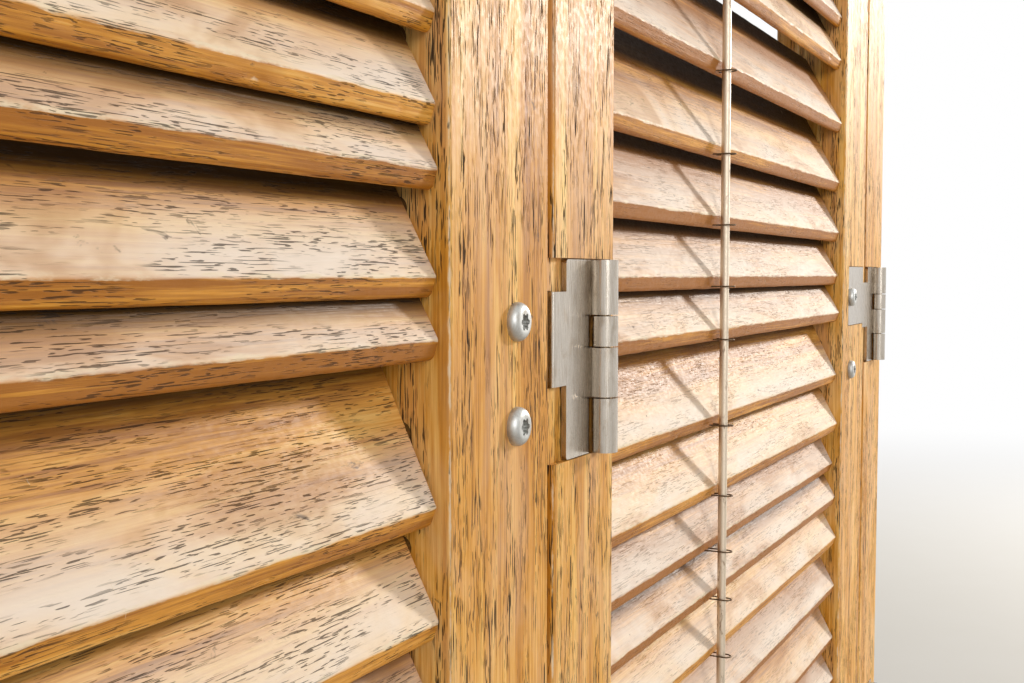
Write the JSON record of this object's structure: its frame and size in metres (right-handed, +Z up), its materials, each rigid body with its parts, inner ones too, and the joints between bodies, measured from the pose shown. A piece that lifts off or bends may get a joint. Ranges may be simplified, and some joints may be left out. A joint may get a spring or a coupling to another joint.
{
  "type": "louvred shutters",
  "caption": "Two-leaf folding louvred wooden shutter in its rebated frame, with tilting slats moved by thin control rods and steel barrel hinges at the fold and at the jamb.",
  "frame": {"origin": "centre of the four wall fixing holes, on the back face of the frame", "axes": "+X along the shutter towards the hinged jamb, -Y to the outside, +Z up"},
  "size_m": [0.8584, 0.0511, 0.64],
  "materials": {
    "frame_wood": "worn varnish",
    "slat_wood": "worn varnish",
    "hinge_steel": "satin nickel",
    "screw_steel": "satin zinc",
    "rod_steel": "dull galvanised"
  },
  "bodies": {
    "frame": {"frame_head": "frame_wood", "frame_sill": "frame_wood", "frame_left_jamb": "frame_wood", "frame_right_jamb": "frame_wood", "jamb_hinge_narrow_leaves": "hinge_steel", "jamb_hinge_pins": "hinge_steel", "frame_screws": "screw_steel"},
    "right_leaf": {"right_leaf_fold_stile": "frame_wood", "right_leaf_hinge_stile": "frame_wood", "right_leaf_top_rail": "frame_wood", "right_leaf_bottom_rail": "frame_wood", "jamb_hinge_long_leaves": "hinge_steel", "fold_hinge_narrow_leaves": "hinge_steel", "fold_hinge_pins": "hinge_steel", "right_leaf_screws": "screw_steel"},
    "left_leaf": {"left_leaf_outer_stile": "frame_wood", "left_leaf_fold_stile": "frame_wood", "left_leaf_top_rail": "frame_wood", "left_leaf_bottom_rail": "frame_wood", "fold_hinge_long_leaves": "hinge_steel", "left_leaf_screws": "screw_steel"},
    "left_slat_09": {"left_slat_09": "slat_wood"},
    "left_slat_01": {"left_slat_01": "slat_wood"},
    "left_slat_02": {"left_slat_02": "slat_wood"},
    "left_slat_03": {"left_slat_03": "slat_wood"},
    "left_slat_04": {"left_slat_04": "slat_wood"},
    "left_slat_05": {"left_slat_05": "slat_wood"},
    "left_slat_06": {"left_slat_06": "slat_wood"},
    "left_slat_07": {"left_slat_07": "slat_wood"},
    "left_slat_08": {"left_slat_08": "slat_wood"},
    "left_slat_10": {"left_slat_10": "slat_wood"},
    "left_slat_11": {"left_slat_11": "slat_wood"},
    "left_slat_12": {"left_slat_12": "slat_wood"},
    "left_slat_13": {"left_slat_13": "slat_wood"},
    "left_slat_14": {"left_slat_14": "slat_wood"},
    "left_slat_15": {"left_slat_15": "slat_wood"},
    "left_slat_16": {"left_slat_16": "slat_wood"},
    "left_slat_17": {"left_slat_17": "slat_wood"},
    "left_slat_18": {"left_slat_18": "slat_wood"},
    "left_control_rod": {"left_control_rod": "rod_steel"},
    "right_slat_09": {"right_slat_09": "slat_wood"},
    "right_slat_01": {"right_slat_01": "slat_wood"},
    "right_slat_02": {"right_slat_02": "slat_wood"},
    "right_slat_03": {"right_slat_03": "slat_wood"},
    "right_slat_04": {"right_slat_04": "slat_wood"},
    "right_slat_05": {"right_slat_05": "slat_wood"},
    "right_slat_06": {"right_slat_06": "slat_wood"},
    "right_slat_07": {"right_slat_07": "slat_wood"},
    "right_slat_08": {"right_slat_08": "slat_wood"},
    "right_slat_10": {"right_slat_10": "slat_wood"},
    "right_slat_11": {"right_slat_11": "slat_wood"},
    "right_slat_12": {"right_slat_12": "slat_wood"},
    "right_slat_13": {"right_slat_13": "slat_wood"},
    "right_slat_14": {"right_slat_14": "slat_wood"},
    "right_slat_15": {"right_slat_15": "slat_wood"},
    "right_slat_16": {"right_slat_16": "slat_wood"},
    "right_slat_17": {"right_slat_17": "slat_wood"},
    "right_slat_18": {"right_slat_18": "slat_wood"},
    "right_control_rod": {"right_control_rod": "rod_steel"}
  },
  "joints": [
    {"name": "jamb_hinge", "type": "hinge", "parent": "frame", "child": "right_leaf", "pos_m": [0.4098, -0.04735, 0], "axis": [0, 0, 1], "range_deg": [0, 90]},
    {"name": "fold_hinge", "type": "hinge", "parent": "right_leaf", "child": "left_leaf", "pos_m": [0.027, -0.04735, 0], "axis": [0, 0, 1], "range_deg": [0, 165]},
    {"name": "left_slat_09_tilt", "type": "hinge", "parent": "left_leaf", "child": "left_slat_09", "pos_m": [-0.1914, -0.0327, 0.02202], "axis": [-1, 0, 0], "range_deg": [0, 45]},
    {"name": "left_slat_01_tilt", "type": "hinge", "parent": "left_leaf", "child": "left_slat_01", "pos_m": [-0.1914, -0.03239, 0.1934], "axis": [-1, 0, 0], "range_deg": [0, 45]},
    {"name": "left_slat_02_tilt", "type": "hinge", "parent": "left_leaf", "child": "left_slat_02", "pos_m": [-0.1914, -0.03291, 0.16768], "axis": [-1, 0, 0], "range_deg": [0, 45]},
    {"name": "left_slat_03_tilt", "type": "hinge", "parent": "left_leaf", "child": "left_slat_03", "pos_m": [-0.1914, -0.03249, 0.14144], "axis": [-1, 0, 0], "range_deg": [0, 45]},
    {"name": "left_slat_04_tilt", "type": "hinge", "parent": "left_leaf", "child": "left_slat_04", "pos_m": [-0.1914, -0.0327, 0.1152], "axis": [-1, 0, 0], "range_deg": [0, 45]},
    {"name": "left_slat_05_tilt", "type": "hinge", "parent": "left_leaf", "child": "left_slat_05", "pos_m": [-0.1914, -0.03192, 0.08865], "axis": [-1, 0, 0], "range_deg": [0, 45]},
    {"name": "left_slat_06_tilt", "type": "hinge", "parent": "left_leaf", "child": "left_slat_06", "pos_m": [-0.1914, -0.03218, 0.07021], "axis": [-1, 0, 0], "range_deg": [0, 45]},
    {"name": "left_slat_07_tilt", "type": "hinge", "parent": "left_leaf", "child": "left_slat_07", "pos_m": [-0.1914, -0.0327, 0.05697], "axis": [-1, 0, 0], "range_deg": [0, 45]},
    {"name": "left_slat_08_tilt", "type": "hinge", "parent": "left_leaf", "child": "left_slat_08", "pos_m": [-0.1914, -0.03218, 0.03505], "axis": [-1, 0, 0], "range_deg": [0, 45]},
    {"name": "left_slat_10_tilt", "type": "hinge", "parent": "left_leaf", "child": "left_slat_10", "pos_m": [-0.1914, -0.03291, -0.01223], "axis": [-1, 0, 0], "range_deg": [0, 45]},
    {"name": "left_slat_11_tilt", "type": "hinge", "parent": "left_leaf", "child": "left_slat_11", "pos_m": [-0.1914, -0.0328, -0.03655], "axis": [-1, 0, 0], "range_deg": [0, 45]},
    {"name": "left_slat_12_tilt", "type": "hinge", "parent": "left_leaf", "child": "left_slat_12", "pos_m": [-0.1914, -0.03228, -0.05769], "axis": [-1, 0, 0], "range_deg": [0, 45]},
    {"name": "left_slat_13_tilt", "type": "hinge", "parent": "left_leaf", "child": "left_slat_13", "pos_m": [-0.1914, -0.0327, -0.07743], "axis": [-1, 0, 0], "range_deg": [0, 45]},
    {"name": "left_slat_14_tilt", "type": "hinge", "parent": "left_leaf", "child": "left_slat_14", "pos_m": [-0.1914, -0.03249, -0.09763], "axis": [-1, 0, 0], "range_deg": [0, 45]},
    {"name": "left_slat_15_tilt", "type": "hinge", "parent": "left_leaf", "child": "left_slat_15", "pos_m": [-0.1914, -0.03218, -0.11888], "axis": [-1, 0, 0], "range_deg": [0, 45]},
    {"name": "left_slat_16_tilt", "type": "hinge", "parent": "left_leaf", "child": "left_slat_16", "pos_m": [-0.1914, -0.0327, -0.13961], "axis": [-1, 0, 0], "range_deg": [0, 45]},
    {"name": "left_slat_17_tilt", "type": "hinge", "parent": "left_leaf", "child": "left_slat_17", "pos_m": [-0.1914, -0.03239, -0.16289], "axis": [-1, 0, 0], "range_deg": [0, 45]},
    {"name": "left_slat_18_tilt", "type": "hinge", "parent": "left_leaf", "child": "left_slat_18", "pos_m": [-0.1914, -0.0327, -0.1846], "axis": [-1, 0, 0], "range_deg": [0, 45]},
    {"name": "left_control_rod_eye", "type": "hinge", "parent": "left_slat_09", "child": "left_control_rod", "pos_m": [-0.24536, -0.04541, 0.00432], "axis": [-1, 0, 0], "range_deg": [-45, 0]},
    {"name": "right_slat_09_tilt", "type": "hinge", "parent": "right_leaf", "child": "right_slat_09", "pos_m": [0.1914, -0.0327, 0.01671], "axis": [-1, 0, 0], "range_deg": [0, 45]},
    {"name": "right_slat_01_tilt", "type": "hinge", "parent": "right_leaf", "child": "right_slat_01", "pos_m": [0.1914, -0.03249, 0.1934], "axis": [-1, 0, 0], "range_deg": [0, 45]},
    {"name": "right_slat_02_tilt", "type": "hinge", "parent": "right_leaf", "child": "right_slat_02", "pos_m": [0.1914, -0.0327, 0.17616], "axis": [-1, 0, 0], "range_deg": [0, 45]},
    {"name": "right_slat_03_tilt", "type": "hinge", "parent": "right_leaf", "child": "right_slat_03", "pos_m": [0.1914, -0.03228, 0.15845], "axis": [-1, 0, 0], "range_deg": [0, 45]},
    {"name": "right_slat_04_tilt", "type": "hinge", "parent": "right_leaf", "child": "right_slat_04", "pos_m": [0.1914, -0.03249, 0.13829], "axis": [-1, 0, 0], "range_deg": [0, 45]},
    {"name": "right_slat_05_tilt", "type": "hinge", "parent": "right_leaf", "child": "right_slat_05", "pos_m": [0.1914, -0.0327, 0.10784], "axis": [-1, 0, 0], "range_deg": [0, 45]},
    {"name": "right_slat_06_tilt", "type": "hinge", "parent": "right_leaf", "child": "right_slat_06", "pos_m": [0.1914, -0.03218, 0.07983], "axis": [-1, 0, 0], "range_deg": [0, 45]},
    {"name": "right_slat_07_tilt", "type": "hinge", "parent": "right_leaf", "child": "right_slat_07", "pos_m": [0.1914, -0.0326, 0.05578], "axis": [-1, 0, 0], "range_deg": [0, 45]},
    {"name": "right_slat_08_tilt", "type": "hinge", "parent": "right_leaf", "child": "right_slat_08", "pos_m": [0.1914, -0.03208, 0.03484], "axis": [-1, 0, 0], "range_deg": [0, 45]},
    {"name": "right_slat_10_tilt", "type": "hinge", "parent": "right_leaf", "child": "right_slat_10", "pos_m": [0.1914, -0.03239, -0.01291], "axis": [-1, 0, 0], "range_deg": [0, 45]},
    {"name": "right_slat_11_tilt", "type": "hinge", "parent": "right_leaf", "child": "right_slat_11", "pos_m": [0.1914, -0.0327, -0.03717], "axis": [-1, 0, 0], "range_deg": [0, 45]},
    {"name": "right_slat_12_tilt", "type": "hinge", "parent": "right_leaf", "child": "right_slat_12", "pos_m": [0.1914, -0.03088, -0.0567], "axis": [-1, 0, 0], "range_deg": [0, 45]},
    {"name": "right_slat_13_tilt", "type": "hinge", "parent": "right_leaf", "child": "right_slat_13", "pos_m": [0.1914, -0.03239, -0.07353], "axis": [-1, 0, 0], "range_deg": [0, 45]},
    {"name": "right_slat_14_tilt", "type": "hinge", "parent": "right_leaf", "child": "right_slat_14", "pos_m": [0.1914, -0.0327, -0.09348], "axis": [-1, 0, 0], "range_deg": [0, 45]},
    {"name": "right_slat_15_tilt", "type": "hinge", "parent": "right_leaf", "child": "right_slat_15", "pos_m": [0.1914, -0.03249, -0.11727], "axis": [-1, 0, 0], "range_deg": [0, 45]},
    {"name": "right_slat_16_tilt", "type": "hinge", "parent": "right_leaf", "child": "right_slat_16", "pos_m": [0.1914, -0.03228, -0.14314], "axis": [-1, 0, 0], "range_deg": [0, 45]},
    {"name": "right_slat_17_tilt", "type": "hinge", "parent": "right_leaf", "child": "right_slat_17", "pos_m": [0.1914, -0.0327, -0.16387], "axis": [-1, 0, 0], "range_deg": [0, 45]},
    {"name": "right_slat_18_tilt", "type": "hinge", "parent": "right_leaf", "child": "right_slat_18", "pos_m": [0.1914, -0.03249, -0.1846], "axis": [-1, 0, 0], "range_deg": [0, 45]},
    {"name": "right_control_rod_eye", "type": "hinge", "parent": "right_slat_09", "child": "right_control_rod", "pos_m": [0.13744, -0.04541, -0.00099], "axis": [-1, 0, 0], "range_deg": [-45, 0]}
  ],
  "couplings": [
    {"joint": "left_slat_01_tilt", "follows": "left_slat_09_tilt", "ratio": 1},
    {"joint": "left_slat_02_tilt", "follows": "left_slat_09_tilt", "ratio": 1},
    {"joint": "left_slat_03_tilt", "follows": "left_slat_09_tilt", "ratio": 1},
    {"joint": "left_slat_04_tilt", "follows": "left_slat_09_tilt", "ratio": 1},
    {"joint": "left_slat_05_tilt", "follows": "left_slat_09_tilt", "ratio": 1},
    {"joint": "left_slat_06_tilt", "follows": "left_slat_09_tilt", "ratio": 1},
    {"joint": "left_slat_07_tilt", "follows": "left_slat_09_tilt", "ratio": 1},
    {"joint": "left_slat_08_tilt", "follows": "left_slat_09_tilt", "ratio": 1},
    {"joint": "left_slat_10_tilt", "follows": "left_slat_09_tilt", "ratio": 1},
    {"joint": "left_slat_11_tilt", "follows": "left_slat_09_tilt", "ratio": 1},
    {"joint": "left_slat_12_tilt", "follows": "left_slat_09_tilt", "ratio": 1},
    {"joint": "left_slat_13_tilt", "follows": "left_slat_09_tilt", "ratio": 1},
    {"joint": "left_slat_14_tilt", "follows": "left_slat_09_tilt", "ratio": 1},
    {"joint": "left_slat_15_tilt", "follows": "left_slat_09_tilt", "ratio": 1},
    {"joint": "left_slat_16_tilt", "follows": "left_slat_09_tilt", "ratio": 1},
    {"joint": "left_slat_17_tilt", "follows": "left_slat_09_tilt", "ratio": 1},
    {"joint": "left_slat_18_tilt", "follows": "left_slat_09_tilt", "ratio": 1},
    {"joint": "left_control_rod_eye", "follows": "left_slat_09_tilt", "ratio": -1},
    {"joint": "right_slat_01_tilt", "follows": "right_slat_09_tilt", "ratio": 1},
    {"joint": "right_slat_02_tilt", "follows": "right_slat_09_tilt", "ratio": 1},
    {"joint": "right_slat_03_tilt", "follows": "right_slat_09_tilt", "ratio": 1},
    {"joint": "right_slat_04_tilt", "follows": "right_slat_09_tilt", "ratio": 1},
    {"joint": "right_slat_05_tilt", "follows": "right_slat_09_tilt", "ratio": 1},
    {"joint": "right_slat_06_tilt", "follows": "right_slat_09_tilt", "ratio": 1},
    {"joint": "right_slat_07_tilt", "follows": "right_slat_09_tilt", "ratio": 1},
    {"joint": "right_slat_08_tilt", "follows": "right_slat_09_tilt", "ratio": 1},
    {"joint": "right_slat_10_tilt", "follows": "right_slat_09_tilt", "ratio": 1},
    {"joint": "right_slat_11_tilt", "follows": "right_slat_09_tilt", "ratio": 1},
    {"joint": "right_slat_12_tilt", "follows": "right_slat_09_tilt", "ratio": 1},
    {"joint": "right_slat_13_tilt", "follows": "right_slat_09_tilt", "ratio": 1},
    {"joint": "right_slat_14_tilt", "follows": "right_slat_09_tilt", "ratio": 1},
    {"joint": "right_slat_15_tilt", "follows": "right_slat_09_tilt", "ratio": 1},
    {"joint": "right_slat_16_tilt", "follows": "right_slat_09_tilt", "ratio": 1},
    {"joint": "right_slat_17_tilt", "follows": "right_slat_09_tilt", "ratio": 1},
    {"joint": "right_slat_18_tilt", "follows": "right_slat_09_tilt", "ratio": 1},
    {"joint": "right_control_rod_eye", "follows": "right_slat_09_tilt", "ratio": -1}
  ]
}
